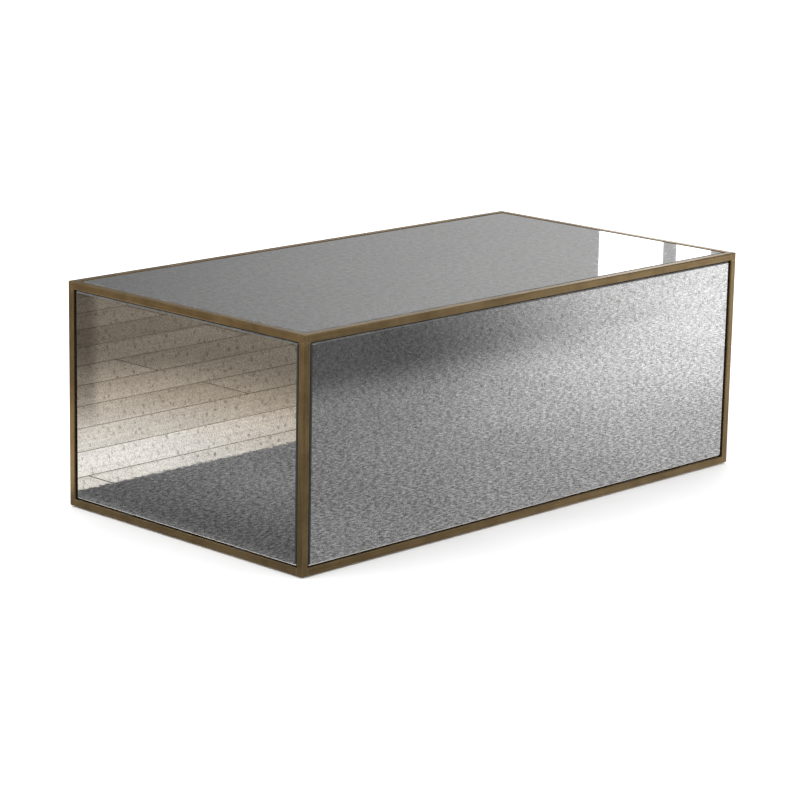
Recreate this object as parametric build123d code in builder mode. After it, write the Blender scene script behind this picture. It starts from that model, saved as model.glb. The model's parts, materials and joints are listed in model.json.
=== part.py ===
from build123d import *

import os

os.makedirs("parts", exist_ok=True)

# A low block table: a welded square-tube frame with a mirror panel set into the top and each side.
# Millimetres. The origin is on the floor under the middle of the table, +X along its length, +Z up.

# ---- Driving dimensions ----------------------------------------------------------------------
LENGTH = 1220.0
DEPTH = 650.0
HEIGHT = 445.0
FLOOR_GAP = 2.5  # under the bottom rails, with the levelling feet screwed right in

TUBE = 15.0  # square tube, across the flats
WALL = 1.5
TUBE_RADIUS = 2.0  # outer corner of the tube
BORE_RADIUS = 0.5  # inner corner of the tube
CAP = 2.5  # plate welded over each end of a post
SEAM = 0.3  # bevel at a rail's ends, left showing by the ground welds

SIDE_RECESS = 2.0  # from the face of the tubes to the face of a side mirror
TOP_RECESS = 0.5
SIDE_GLASS = 4.0
TOP_GLASS = 5.0
GLASS_CORNER = 3.0
ARRIS = 2.4  # satin bevel round a mirror's front
REVEAL_ENDS = 4.5  # gap beside a side mirror's two upright edges
REVEAL = 2.2  # gap along a side mirror's top and bottom edges
TOP_REVEAL = 4.0
TAPE = 0.5
TAPE_WIDTH = 25.0
TAPE_MARGIN = 20.0
BOARD = 5.5
BOARD_GAP = 2.0
BLOCK = (28.0, 4.0)  # setting block, along the rail and across the glass

TAB = 3.0
TAB_WIDTH = 40.0
TAB_REACH = 18.0
SCREW_INSET = 12.0  # from the tube to the screw's centre
SCREW_LENGTH = 7.5
SHANK_RADIUS = 1.75
HEAD_RADIUS = 3.5
HEAD = 2.2
HEAD_TAPER = 12.0  # degrees
DRIVE = (3.4, 0.8)  # one arm of the cross recess, long and wide
PILOT_CLEARANCE = 0.05
TAB_HOLE_RADIUS = 2.1

BRACE_OFFSET = 200.0  # of the two top cross braces from the middle
PLATE = 3.0
PLATE_LEG = 60.0
PLATE_Z = 11.0
FOOT_INSET = 22.0  # from the inner face of the tubes
STUD_RADIUS = 4.0
STUD_CLEARANCE = 0.07
STUD_TOP = 32.0
STUD_CHAMFER = 0.8
PLATE_HOLE_RADIUS = 4.5
NUT_FLATS = 13.0
NUT = 6.5
COLLAR = 4.2  # hexagon on the stud, for a spanner
COLLAR_Z = 6.3
SPIGOT_RADIUS = 3.0
SPIGOT_Z = 2.0
SPIGOT_END_GAP = 0.3  # from the spigot's end to the bottom of the pad's bore
PAD_RADIUS = 16.0
PAD = 6.0
PAD_RIM = 1.5

# ---- Worked-out places -----------------------------------------------------------------------
HALF_X = LENGTH / 2
HALF_Y = DEPTH / 2
INNER_X = HALF_X - TUBE  # inner face of the end tubes
INNER_Y = HALF_Y - TUBE
RAIL_TOP = FLOOR_GAP + TUBE  # upper face of the bottom rails
RAIL_UNDER = HEIGHT - TUBE  # under face of the top rails
OPENING_HEIGHT = RAIL_UNDER - RAIL_TOP
OPENING_Z = (RAIL_UNDER + RAIL_TOP) / 2
SIDE_TAB_DEPTH = SIDE_RECESS + SIDE_GLASS + TAPE + BOARD
TOP_TAB_DEPTH = TOP_RECESS + TOP_GLASS + TAPE + BOARD
BRACE_Z = HEIGHT - TOP_TAB_DEPTH - TUBE / 2
CORNERS = {
    "front_left": (-1, -1),
    "front_right": (1, -1),
    "back_right": (1, 1),
    "back_left": (-1, 1),
}


def save(builder, name):
    """Label a finished part and write it as its own STEP file."""
    builder.part.label = name
    export_step(builder.part, f"parts/{name}.step")


def tube_profile():
    """Add the section of the square tube to the current sketch."""
    RectangleRounded(TUBE, TUBE, TUBE_RADIUS)
    RectangleRounded(TUBE - 2 * WALL, TUBE - 2 * WALL, BORE_RADIUS, mode=Mode.SUBTRACT)


# ---- Frame: posts, caps and rails ------------------------------------------------------------
def post(sign_x, sign_y):
    """A corner post, squared off where the rails are welded to it and ground flush."""
    x = sign_x * (HALF_X - TUBE / 2)
    y = sign_y * (HALF_Y - TUBE / 2)
    edge = (TUBE - TUBE_RADIUS) / 2
    weld_height = TUBE - CAP
    weld_ends = (FLOOR_GAP + CAP + weld_height / 2, HEIGHT - CAP - weld_height / 2)
    with BuildPart() as tube:
        with BuildSketch(Plane.XY.offset(FLOOR_GAP + CAP)):
            with Locations((x, y)):
                tube_profile()
        extrude(amount=HEIGHT - FLOOR_GAP - 2 * CAP)
        for z in weld_ends:
            for side_x, side_y in ((-1, 1), (1, -1), (-1, -1)):
                with Locations((x + sign_x * side_x * edge, y + sign_y * side_y * edge, z)):
                    Box(TUBE_RADIUS, TUBE_RADIUS, weld_height)
    return tube


for corner, (sign_x, sign_y) in CORNERS.items():
    save(post(sign_x, sign_y), f"post_{corner}")


def on_outside(point):
    """True for a point on two of the frame's outer planes, so on one of its outer edges."""
    planes = (
        abs(abs(point.X) - HALF_X) < 0.01,
        abs(abs(point.Y) - HALF_Y) < 0.01,
        abs(point.Z - HEIGHT) < 0.01 or abs(point.Z - FLOOR_GAP) < 0.01,
    )
    return sum(planes) == 2


with BuildPart() as post_end_caps:
    for sign_x, sign_y in CORNERS.values():
        for z in (FLOOR_GAP + CAP / 2, HEIGHT - CAP / 2):
            with Locations((sign_x * (HALF_X - TUBE / 2), sign_y * (HALF_Y - TUBE / 2), z)):
                Box(TUBE, TUBE, CAP)
    fillet([e for e in post_end_caps.edges() if on_outside(e.center())], TUBE_RADIUS)
save(post_end_caps, "post_end_caps")


def rail(start, direction, length, bevel=0.0):
    """A square tube from a point, with its sides along the row axes."""
    with BuildPart() as tube:
        with BuildSketch(Plane(origin=start, x_dir=(0, 0, 1), z_dir=direction)):
            tube_profile()
        extrude(amount=length)
        if bevel:
            along = Axis((0, 0, 0), direction)
            ends = tube.faces().filter_by(Plane(start, z_dir=direction)).sort_by(along)
            for end in (ends[0], ends[-1]):
                chamfer(end.outer_wire().edges(), bevel)
    return tube


MID_Y = HALF_Y - TUBE / 2
MID_X = HALF_X - TUBE / 2
RAIL_LEVELS = {"top": HEIGHT - TUBE / 2, "bottom": FLOOR_GAP + TUBE / 2}
for level, z in RAIL_LEVELS.items():
    long_rail = 2 * INNER_X
    short_rail = 2 * INNER_Y
    save(rail((-INNER_X, -MID_Y, z), (1, 0, 0), long_rail, SEAM), f"{level}_rail_front")
    save(rail((-INNER_X, MID_Y, z), (1, 0, 0), long_rail, SEAM), f"{level}_rail_back")
    save(rail((-MID_X, -INNER_Y, z), (0, 1, 0), short_rail, SEAM), f"{level}_rail_left")
    save(rail((MID_X, -INNER_Y, z), (0, 1, 0), short_rail, SEAM), f"{level}_rail_right")

save(rail((0, -INNER_Y, RAIL_LEVELS["bottom"]), (0, 1, 0), 2 * INNER_Y), "bottom_cross_brace")

with BuildPart() as top_cross_braces:
    with BuildSketch(Plane(origin=(0, -INNER_Y, BRACE_Z), x_dir=(1, 0, 0), z_dir=(0, 1, 0))):
        with Locations((-BRACE_OFFSET, 0), (BRACE_OFFSET, 0)):
            tube_profile()
    extrude(amount=2 * INNER_Y)
save(top_cross_braces, "top_cross_braces")


# ---- Mirror panels ---------------------------------------------------------------------------
# Each panel is built on a plane that lies on the outer face of the tubes, with its normal pointing
# into the table and its Y up, so a depth is an offset of that plane.
class Panel:
    """One mirror panel: its plane, its opening and the depths of what is stacked in it."""

    def __init__(self, name, origin, inward, opening, glass, recess, reveals, tabs):
        across = (1, 0, 0) if inward[2] else (-inward[1], inward[0], 0)
        self.name = name
        self.plane = Plane(origin=origin, x_dir=across, z_dir=inward)
        self.width, self.height = opening
        self.glass = glass
        self.recess = recess
        self.reveal_x, self.reveal_y = reveals
        self.tabs_x, self.tabs_y = tabs
        self.tape_depth = recess + glass
        self.board_depth = self.tape_depth + TAPE
        self.tab_depth = self.board_depth + BOARD

    def tab_places(self, inset):
        """Centres, along the four edges of the opening, of what sits inset from the tubes."""
        half_w = self.width / 2 - inset
        half_h = self.height / 2 - inset
        along_x = [(x, sign * half_h) for x in self.tabs_x for sign in (-1, 1)]
        along_y = [(sign * half_w, y) for y in self.tabs_y for sign in (-1, 1)]
        return along_x, along_y


def mirror(panel):
    """The glass, with a polished arris round its front and a finer one round its back."""
    width = panel.width - 2 * panel.reveal_x
    height = panel.height - 2 * panel.reveal_y
    with BuildPart() as glass:
        with BuildSketch(panel.plane.offset(panel.recess)):
            RectangleRounded(width, height, GLASS_CORNER)
        extrude(amount=panel.glass)
        faces = glass.faces().filter_by(panel.plane).sort_by(Axis(panel.plane.origin, panel.plane.z_dir))
        chamfer(faces[0].outer_wire().edges(), ARRIS)
    return glass


def mirror_tape(panel, strips):
    """Upright strips of double-sided tape between the glass and its board."""
    width = panel.width - 2 * panel.reveal_x - 2 * TAPE_MARGIN - TAPE_WIDTH
    height = panel.height - 2 * panel.reveal_y - 2 * TAPE_MARGIN
    with BuildPart() as tape:
        with BuildSketch(panel.plane.offset(panel.tape_depth)):
            with GridLocations(width / (strips - 1), 1, strips, 1):
                Rectangle(TAPE_WIDTH, height)
        extrude(amount=TAPE)
    return tape


def backing_board(panel):
    """The board behind the glass, with a pilot hole for each screw in its back."""
    along_x, along_y = panel.tab_places(SCREW_INSET)
    with BuildPart() as board:
        with BuildSketch(panel.plane.offset(panel.board_depth)):
            Rectangle(panel.width - 2 * BOARD_GAP, panel.height - 2 * BOARD_GAP)
        extrude(amount=BOARD)
        with BuildSketch(panel.plane.offset(panel.tab_depth)):
            with Locations(*along_x, *along_y):
                Circle(SHANK_RADIUS + PILOT_CLEARANCE)
        extrude(amount=TAB - SCREW_LENGTH, mode=Mode.SUBTRACT)
    return board


def panel_tabs(panel):
    """The lugs welded to the inner sides of the tubes, drilled for the screws."""
    along_x, along_y = panel.tab_places(TAB_REACH / 2)
    holes_x, holes_y = panel.tab_places(SCREW_INSET)
    with BuildPart() as tabs:
        with BuildSketch(panel.plane.offset(panel.tab_depth)):
            with Locations(*along_x):
                Rectangle(TAB_WIDTH, TAB_REACH)
            with Locations(*along_y):
                Rectangle(TAB_REACH, TAB_WIDTH)
            with Locations(*holes_x, *holes_y):
                Circle(TAB_HOLE_RADIUS, mode=Mode.SUBTRACT)
        extrude(amount=TAB)
    return tabs


def screws(under_head, length, places):
    """Pan-head screws standing in a plane: heads in front of it, shanks behind it."""
    with BuildPart() as group:
        with BuildSketch(under_head):
            with Locations(*places):
                Circle(HEAD_RADIUS)
        extrude(amount=HEAD, taper=HEAD_TAPER)
        with BuildSketch(under_head):
            with Locations(*places):
                Circle(SHANK_RADIUS)
        extrude(amount=-length)
        with BuildSketch(under_head.offset(HEAD)):
            with Locations(*places):
                Rectangle(*DRIVE)
                Rectangle(*reversed(DRIVE))
        extrude(amount=-HEAD / 2, mode=Mode.SUBTRACT)
    return group


def setting_blocks(panel):
    """Two rubber blocks on the bottom rail, under the quarter points of a side mirror."""
    with BuildPart() as blocks:
        with BuildSketch(panel.plane.offset(panel.recess)):
            with Locations(*[(sign * panel.width / 4, (REVEAL - panel.height) / 2) for sign in (-1, 1)]):
                Rectangle(BLOCK[0], REVEAL)
        extrude(amount=BLOCK[1])
    return blocks


LONG_TABS = (-400.0, 0.0, 400.0)
SHORT_TABS = (-200.0, 200.0)
POST_TABS = (-100.0, 100.0)
TOP_END_TABS = (-150.0, 150.0)
SIDE_REVEALS = (REVEAL_ENDS, REVEAL)
long_side = (2 * INNER_X, OPENING_HEIGHT)
short_side = (2 * INNER_Y, OPENING_HEIGHT)
panels = [
    Panel("front", (0, -HALF_Y, OPENING_Z), (0, 1, 0), long_side,
          SIDE_GLASS, SIDE_RECESS, SIDE_REVEALS, (LONG_TABS, POST_TABS)),
    Panel("back", (0, HALF_Y, OPENING_Z), (0, -1, 0), long_side,
          SIDE_GLASS, SIDE_RECESS, SIDE_REVEALS, (LONG_TABS, POST_TABS)),
    Panel("left", (-HALF_X, 0, OPENING_Z), (1, 0, 0), short_side,
          SIDE_GLASS, SIDE_RECESS, SIDE_REVEALS, (SHORT_TABS, POST_TABS)),
    Panel("right", (HALF_X, 0, OPENING_Z), (-1, 0, 0), short_side,
          SIDE_GLASS, SIDE_RECESS, SIDE_REVEALS, (SHORT_TABS, POST_TABS)),
    Panel("top", (0, 0, HEIGHT), (0, 0, -1), (2 * INNER_X, 2 * INNER_Y),
          TOP_GLASS, TOP_RECESS, (TOP_REVEAL, TOP_REVEAL), (LONG_TABS, TOP_END_TABS)),
]
for panel in panels:
    strips = 5 if panel.width > DEPTH else 3
    screw_plane = panel.plane.offset(panel.tab_depth + TAB)
    along_x, along_y = panel.tab_places(SCREW_INSET)
    save(mirror(panel), f"{panel.name}_mirror")
    save(mirror_tape(panel, strips), f"{panel.name}_mirror_tape")
    save(backing_board(panel), f"{panel.name}_backing_board")
    save(panel_tabs(panel), f"{panel.name}_panel_tabs")
    save(screws(screw_plane, SCREW_LENGTH, along_x + along_y), f"{panel.name}_panel_screws")
    if panel.name != "top":
        save(setting_blocks(panel), f"{panel.name}_setting_blocks")


# ---- Bottom boards ---------------------------------------------------------------------------
BOTTOM_TAB_Z = RAIL_TOP - TAB
BOTTOM_TABS_X = (-450.0, -150.0, 150.0, 450.0)
BOTTOM_TABS_Y = (-150.0, 150.0)
BOTTOM_SCREW = 8.0


def bottom_places(inset):
    """Centres of the bottom tabs: along the long rails, then along the short rails and the brace."""
    along_x = [(x, sign * (INNER_Y - inset)) for x in BOTTOM_TABS_X for sign in (-1, 1)]
    lines_y = [sign * line for line in (INNER_X - inset, TUBE / 2 + inset) for sign in (-1, 1)]
    return along_x, [(x, y) for x in lines_y for y in BOTTOM_TABS_Y]


tab_x, tab_y = bottom_places(TAB_REACH / 2)
hole_x, hole_y = bottom_places(SCREW_INSET)
with BuildPart() as bottom_panel_tabs:
    with BuildSketch(Plane.XY.offset(BOTTOM_TAB_Z)):
        with Locations(*tab_x):
            Rectangle(TAB_WIDTH, TAB_REACH)
        with Locations(*tab_y):
            Rectangle(TAB_REACH, TAB_WIDTH)
        with Locations(*hole_x, *hole_y):
            Circle(SHANK_RADIUS + PILOT_CLEARANCE, mode=Mode.SUBTRACT)
    extrude(amount=TAB)
save(bottom_panel_tabs, "bottom_panel_tabs")

underside = Plane(origin=(0, 0, BOTTOM_TAB_Z - BOARD), x_dir=(1, 0, 0), z_dir=(0, 0, -1))
mirrored_places = [(x, -y) for x, y in hole_x + hole_y]
save(screws(underside, BOTTOM_SCREW, mirrored_places), "bottom_panel_screws")

for side, sign in (("left", -1), ("right", 1)):
    near = TUBE / 2 + BOARD_GAP
    far = INNER_X - BOARD_GAP
    edge_y = INNER_Y - BOARD_GAP
    cut = PLATE_LEG + BOARD_GAP
    outline = [
        (sign * near, -edge_y),
        (sign * (far - cut), -edge_y),
        (sign * far, cut - edge_y),
        (sign * far, edge_y - cut),
        (sign * (far - cut), edge_y),
        (sign * near, edge_y),
    ]
    holes = [place for place in hole_x + hole_y if place[0] * sign > 0]
    with BuildPart() as bottom_board:
        with BuildSketch(Plane.XY.offset(BOTTOM_TAB_Z - BOARD)):
            Polygon(*outline, align=None)
            with Locations(*holes):
                Circle(TAB_HOLE_RADIUS, mode=Mode.SUBTRACT)
        extrude(amount=BOARD)
    save(bottom_board, f"bottom_panel_{side}")


# ---- Levelling feet --------------------------------------------------------------------------
FOOT_X = INNER_X - FOOT_INSET
FOOT_Y = INNER_Y - FOOT_INSET
foot_places = [(sign_x * FOOT_X, sign_y * FOOT_Y) for sign_x, sign_y in CORNERS.values()]

with BuildPart() as foot_plates:
    with BuildSketch(Plane.XY.offset(PLATE_Z)):
        for sign_x, sign_y in CORNERS.values():
            corner_x, corner_y = sign_x * INNER_X, sign_y * INNER_Y
            Polygon((corner_x, corner_y), (corner_x - sign_x * PLATE_LEG, corner_y),
                    (corner_x, corner_y - sign_y * PLATE_LEG), align=None)
        with Locations(*foot_places):
            Circle(PLATE_HOLE_RADIUS, mode=Mode.SUBTRACT)
    extrude(amount=PLATE)
save(foot_plates, "foot_plates")

with BuildPart() as foot_weld_nuts:
    with BuildSketch(Plane.XY.offset(PLATE_Z + PLATE)):
        with Locations(*foot_places):
            RegularPolygon(NUT_FLATS / 2, 6, major_radius=False)
            Circle(STUD_RADIUS + STUD_CLEARANCE, mode=Mode.SUBTRACT)
    extrude(amount=NUT)
save(foot_weld_nuts, "foot_weld_nuts")


def foot_stud(place):
    """The stud, drawn at its thread's crest, with its spanner hexagon and the spigot in the pad."""
    with BuildPart() as stud:
        with BuildSketch(Plane.XY.offset(SPIGOT_Z)):
            with Locations(place):
                Circle(SPIGOT_RADIUS)
        extrude(amount=COLLAR_Z - SPIGOT_Z)
        with BuildSketch(Plane.XY.offset(COLLAR_Z)):
            with Locations(place):
                RegularPolygon(NUT_FLATS / 2, 6, major_radius=False)
        extrude(amount=COLLAR)
        with BuildSketch(Plane.XY.offset(COLLAR_Z + COLLAR)):
            with Locations(place):
                Circle(STUD_RADIUS)
        extrude(amount=STUD_TOP - COLLAR_Z - COLLAR)
        chamfer(stud.faces().sort_by(Axis.Z)[-1].edges(), STUD_CHAMFER)
    return stud


def foot_pad(place):
    """The round pad on the floor, with a blind bore for the stud's spigot."""
    with BuildPart() as pad:
        with BuildSketch():
            with Locations(place):
                Circle(PAD_RADIUS)
        extrude(amount=PAD)
        fillet(pad.edges().group_by(Axis.Z)[-1], PAD_RIM)
        with BuildSketch(Plane.XY.offset(PAD)):
            with Locations(place):
                Circle(SPIGOT_RADIUS + STUD_CLEARANCE)
        extrude(amount=SPIGOT_Z - SPIGOT_END_GAP - PAD, mode=Mode.SUBTRACT)
    return pad


for corner, place in zip(CORNERS, foot_places):
    save(foot_stud(place), f"foot_stud_{corner}")
    save(foot_pad(place), f"foot_pad_{corner}")
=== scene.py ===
"""Looks of a low block table: a welded bronze tube frame with antiqued mirrors set into it.

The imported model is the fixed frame. The tubes, boards, tabs and plates keep their shapes and get
their finishes here. The mirrors, screws, nuts and levelling feet are modelled afresh around them.
Everything is in metres, with the origin on the floor under the middle of the table.
"""

import json
import logging
import math
from collections.abc import Callable, Iterable, Sequence
from dataclasses import dataclass, replace
from enum import IntEnum
from typing import NamedTuple

import bpy
from mathutils import Euler, Matrix, Vector

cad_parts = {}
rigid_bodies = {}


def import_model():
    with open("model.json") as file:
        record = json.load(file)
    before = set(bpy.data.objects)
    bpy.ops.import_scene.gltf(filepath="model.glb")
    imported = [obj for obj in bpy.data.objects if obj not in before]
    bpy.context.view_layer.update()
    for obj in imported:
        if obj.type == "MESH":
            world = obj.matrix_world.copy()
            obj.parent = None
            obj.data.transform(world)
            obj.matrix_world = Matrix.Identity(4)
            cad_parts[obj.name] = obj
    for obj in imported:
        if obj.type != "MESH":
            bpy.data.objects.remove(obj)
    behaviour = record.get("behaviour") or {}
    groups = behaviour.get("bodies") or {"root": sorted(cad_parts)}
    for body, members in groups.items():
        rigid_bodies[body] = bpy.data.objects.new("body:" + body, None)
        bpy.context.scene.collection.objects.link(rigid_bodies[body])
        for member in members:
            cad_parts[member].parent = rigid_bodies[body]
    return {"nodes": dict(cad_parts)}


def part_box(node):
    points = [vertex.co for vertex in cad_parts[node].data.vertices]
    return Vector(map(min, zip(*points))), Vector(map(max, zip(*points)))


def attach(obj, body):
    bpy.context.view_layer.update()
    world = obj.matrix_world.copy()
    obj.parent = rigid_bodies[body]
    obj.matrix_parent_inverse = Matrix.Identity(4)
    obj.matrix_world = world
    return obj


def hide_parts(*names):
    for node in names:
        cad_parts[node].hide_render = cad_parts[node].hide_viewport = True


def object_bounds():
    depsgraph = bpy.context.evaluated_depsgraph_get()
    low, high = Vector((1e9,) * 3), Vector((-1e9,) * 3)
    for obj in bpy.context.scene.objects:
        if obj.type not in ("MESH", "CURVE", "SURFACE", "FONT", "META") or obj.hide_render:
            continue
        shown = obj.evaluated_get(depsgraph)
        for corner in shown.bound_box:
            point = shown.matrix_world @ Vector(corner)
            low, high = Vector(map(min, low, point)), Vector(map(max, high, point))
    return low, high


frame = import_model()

MM = 0.001
TABLE_BODY = "table"
CORNERS = ("front_left", "front_right", "back_right", "back_left")
SIDES = ("front", "back", "left", "right", "top")
CAD_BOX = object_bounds()
TOUCH = 0.001 * MM  # closer than this, two places are one
WELD = 0.002 * MM  # vertices this close are merged

log = logging.getLogger("block_table")

Pair = tuple[float, float]
Colour = tuple[float, float, float]
Point = tuple[float, float, float]


class Axis(IntEnum):
    """An axis, as an index into a point."""

    X = 0
    Y = 1
    Z = 2


class Noise(NamedTuple):
    """A noise's scale, in features per metre, its octaves, and the weight of the finer ones."""

    scale: float
    detail: float = 2.0
    roughness: float = 0.5


# ---- Shader recipes ----
class Link:
    """An output socket. Arithmetic on it adds Math nodes to its recipe and gives a new Link."""

    def __init__(self, recipe: "Recipe", node: bpy.types.Node, socket: int | str) -> None:
        """Wrap one output of a node.

        Args:
            recipe: The recipe that the node belongs to.
            node: The node.
            socket: The output's index or name.
        """
        self.recipe = recipe
        self.node = node
        self.socket = node.outputs[socket]

    def output(self, socket: int | str) -> "Link":
        """Return another output of the same node."""
        return Link(self.recipe, self.node, socket)

    def math(self, operation: str, other: "Operand") -> "Link":
        """Return the result of a Math node with this value first."""
        return self.recipe.add("Math", {"operation": operation}, {0: self, 1: other})

    def __add__(self, other: "Operand") -> "Link":
        """Return self + other."""
        return self.math("ADD", other)

    def __mul__(self, other: "Operand") -> "Link":
        """Return self * other."""
        return self.math("MULTIPLY", other)

    __radd__ = __add__
    __rmul__ = __mul__

    def __sub__(self, other: "Operand") -> "Link":
        """Return self - other."""
        return self.math("SUBTRACT", other)

    def __rsub__(self, other: float) -> "Link":
        """Return other - self."""
        return self * -1.0 + other

    def __abs__(self) -> "Link":
        """Return the absolute value."""
        return self.math("ABSOLUTE", 0.0)

    def rise(self, start: float = 0.3, end: float = 0.7) -> "Link":
        """Return a smooth step of this value. The defaults spread a noise from 0 to 1.

        Args:
            start: Where the step is 0.
            end: Where it is 1; below start for a step that falls.

        Returns:
            The step, from 0 to 1.
        """
        return self.recipe.add(
            "MapRange",
            {"interpolation_type": "SMOOTHSTEP"},
            {"Value": self, "From Min": start, "From Max": end},
        )


Operand = Link | float


class Recipe:
    """A material's node tree while it is being written."""

    def __init__(self, name: str) -> None:
        """Start a material.

        Args:
            name: The material's name.
        """
        self.material = bpy.data.materials.new(name)
        self.material.use_nodes = True
        self.tree = self.material.node_tree
        self.tree.nodes.clear()
        self.end = self.tree.nodes.new("ShaderNodeOutputMaterial")

    def add(
        self,
        kind: str,
        settings: dict[str, object] | None = None,
        inputs: dict[int | str, object] | None = None,
        output: int | str = 0,
    ) -> Link:
        """Add any node.

        Args:
            kind: The node's type, after ShaderNode.
            settings: Its properties.
            inputs: Values or links for its input sockets, by index or name.
            output: The output to return.

        Returns:
            That output.
        """
        node = self.tree.nodes.new(f"ShaderNode{kind}")
        for key, value in (settings or {}).items():
            setattr(node, key, value)
        for key, value in (inputs or {}).items():
            if isinstance(value, Link):
                self.tree.links.new(value.socket, node.inputs[key])
            else:
                node.inputs[key].default_value = value
        return Link(self, node, output)

    def place(self) -> Link:
        """Return the Object coordinates, which are places in the table's frame."""
        return self.add("TexCoord", output="Object")

    def parts(self, vector: Link) -> tuple[Link, Link, Link]:
        """Return a vector's X, Y and Z."""
        split = self.add("SeparateXYZ", inputs={0: vector})
        return split, split.output(1), split.output(2)

    def stretched(self, vector: Link, scale: Point) -> Link:
        """Return a vector scaled by a factor for each axis."""
        return self.add("Mapping", {}, {"Vector": vector, "Scale": scale})

    def noise(self, vector: Link, scale: float, detail: float = 2.0, roughness: float = 0.5) -> Link:
        """Add a Noise texture.

        Args:
            vector: Where it is read.
            scale: Features per metre, roughly.
            detail: Its octaves.
            roughness: The weight of the finer octaves.

        Returns:
            The noise, around 0.5. Its Color output holds three such values.
        """
        sockets = {"Vector": vector, "Scale": scale, "Detail": detail, "Roughness": roughness}
        return self.add("TexNoise", {}, sockets)

    def spots(self, vector: Link, pitch: float, radius: float, soft: float, scatter: float) -> Link:
        """Scatter round spots over a plane.

        Args:
            vector: Coordinates across the plane.
            pitch: Mean distance between spots, in metres.
            radius: A spot's radius, in metres.
            soft: The width of its edge, in metres.
            scatter: From 0, a grid, to 1, random.

        Returns:
            1 within a spot and 0 outside.
        """
        sockets = {"Vector": vector, "Scale": 1.0 / pitch, "Randomness": scatter}
        distance = self.add("TexVoronoi", {"voronoi_dimensions": "2D"}, sockets, "Distance")
        return distance.rise((radius + soft) / pitch, radius / pitch)

    def jitter(self, vector: Link, scale: float, amount: float) -> Link:
        """Shift a vector by a noise, so that what is read there has ragged outlines.

        Args:
            vector: The vector.
            scale: The noise's scale.
            amount: The largest shift, roughly, in metres.

        Returns:
            The shifted vector.
        """
        wander = self.noise(vector, scale).output("Color")
        return self.vectors("MULTIPLY_ADD", {0: wander, 1: (amount, amount, amount), 2: vector})

    def mix(self, share: Operand, first: object, second: object) -> Link:
        """Mix two colours.

        Args:
            share: The second colour's share.
            first: A colour or a link.
            second: A colour or a link.

        Returns:
            The mixed colour.
        """
        colours = [c if isinstance(c, Link) else (*c, 1.0) for c in (first, second)]
        settings = {"data_type": "RGBA"}
        return self.add("Mix", settings, {0: share, 6: colours[0], 7: colours[1]}, 2)

    def vectors(self, operation: str, inputs: dict[int | str, object], output: int | str = 0) -> Link:
        """Return an output of a Vector Math node."""
        return self.add("VectorMath", {"operation": operation}, inputs, output)

    def scaled(self, colour: object, factor: Operand) -> Link:
        """Return a colour times a factor that varies."""
        return self.vectors("SCALE", {0: colour, "Scale": factor})

    def bump(self, height: Link, depth: float, strength: float) -> Link:
        """Turn a height into a normal.

        Args:
            height: The height, from 0 to 1.
            depth: What 1 stands for, in metres.
            strength: How much of it shows.

        Returns:
            The normal.
        """
        return self.add("Bump", {}, {"Height": height, "Distance": depth, "Strength": strength})

    def surface(self, **sockets: object) -> None:
        """End the recipe with a Principled shader.

        Args:
            **sockets: Its sockets' values or links, with _ for a space in a name.
        """
        inputs = {
            key.replace("_", " "): (*value, 1.0) if isinstance(value, tuple) else value
            for key, value in sockets.items()
        }
        shader = self.add("BsdfPrincipled", {}, inputs)
        self.tree.links.new(shader.socket, self.end.inputs["Surface"])

    def glow(self, colour: Link) -> None:
        """End the recipe with an Emission shader."""
        shader = self.add("Emission", {}, {"Color": colour})
        self.tree.links.new(shader.socket, self.end.inputs["Surface"])


@dataclass(frozen=True)
class Finish:
    """A finish that becomes one shared material the first time it is used."""

    name: str
    slot: str = ""

    def write(self, recipe: Recipe) -> None:
        """Write the finish's nodes into a recipe."""
        raise NotImplementedError

    def material(self) -> bpy.types.Material:
        """Return the finish's material, made on the first call."""
        found = bpy.data.materials.get(self.name)
        if found is None:
            recipe = Recipe(self.name)
            self.write(recipe)
            found = recipe.material
        return found


# ---- Finishes ----
@dataclass(frozen=True)
class AgedBronze(Finish):
    """Satin bronze patina, brushed along a tube and lighter on its edges: partly wear from use, partly a
    painted highlight.
    """

    slot: str = "frame"
    grain: Axis = Axis.X
    outer: Point = tuple(CAD_BOX[1])
    tube: float = 0.015
    dark: Colour = (0.205, 0.138, 0.062)
    light: Colour = (0.315, 0.222, 0.108)
    # the edges' colour: brass bared by wear, and partly a painted highlight
    worn_and_highlight: Colour = (0.48, 0.36, 0.195)
    along: float = 9.0
    across: float = 700.0
    edge: float = 1.7 * MM

    def edges(self, recipe: Recipe, place: Link) -> Link:
        """Find the tubes' long edges.

        Args:
            recipe: The recipe.
            place: The place on the surface.

        Returns:
            1 on an edge, falling to 0 beside it.
        """
        near = []
        for coordinate, half in zip(recipe.parts(place), self.outer):
            depth = half - abs(coordinate)
            face = abs(depth).math("MINIMUM", abs(depth - self.tube))
            near.append(face.rise(self.edge, 0.2 * self.edge))
        return near[0] * near[1] + near[1] * near[2] + near[2] * near[0]

    def write(self, recipe: Recipe) -> None:
        """Write the patina, the brushing and the edges, lightened by wear and by a painted highlight."""
        place = recipe.place()
        scale = [self.across] * 3
        scale[self.grain] = self.along
        brushing = recipe.noise(recipe.stretched(place, tuple(scale)), 1.0, 3.0, 0.6)
        clouds = recipe.noise(place, 16.0, 4.0, 0.6)
        pores = recipe.noise(place, 1400.0, 2.0)
        tone = (clouds * 0.55 + brushing * 0.45).rise(0.36, 0.66)
        # lighter edges: wear, and partly a painted highlight
        rubbed_and_highlight = self.edges(recipe, place) * (0.35 + recipe.noise(place, 85.0, 3.0).rise(0.30, 0.62) * 0.65)
        patina = recipe.mix(tone, self.dark, self.light)
        recipe.surface(
            Base_Color=recipe.mix(rubbed_and_highlight * 0.55, patina, self.worn_and_highlight),
            Metallic=0.92,
            Roughness=0.27 + tone * 0.08 - rubbed_and_highlight * 0.08 + pores * 0.06,
            Normal=recipe.bump(brushing * 0.7 + pores * 0.3, 0.06 * MM, 0.5),
        )


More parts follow.
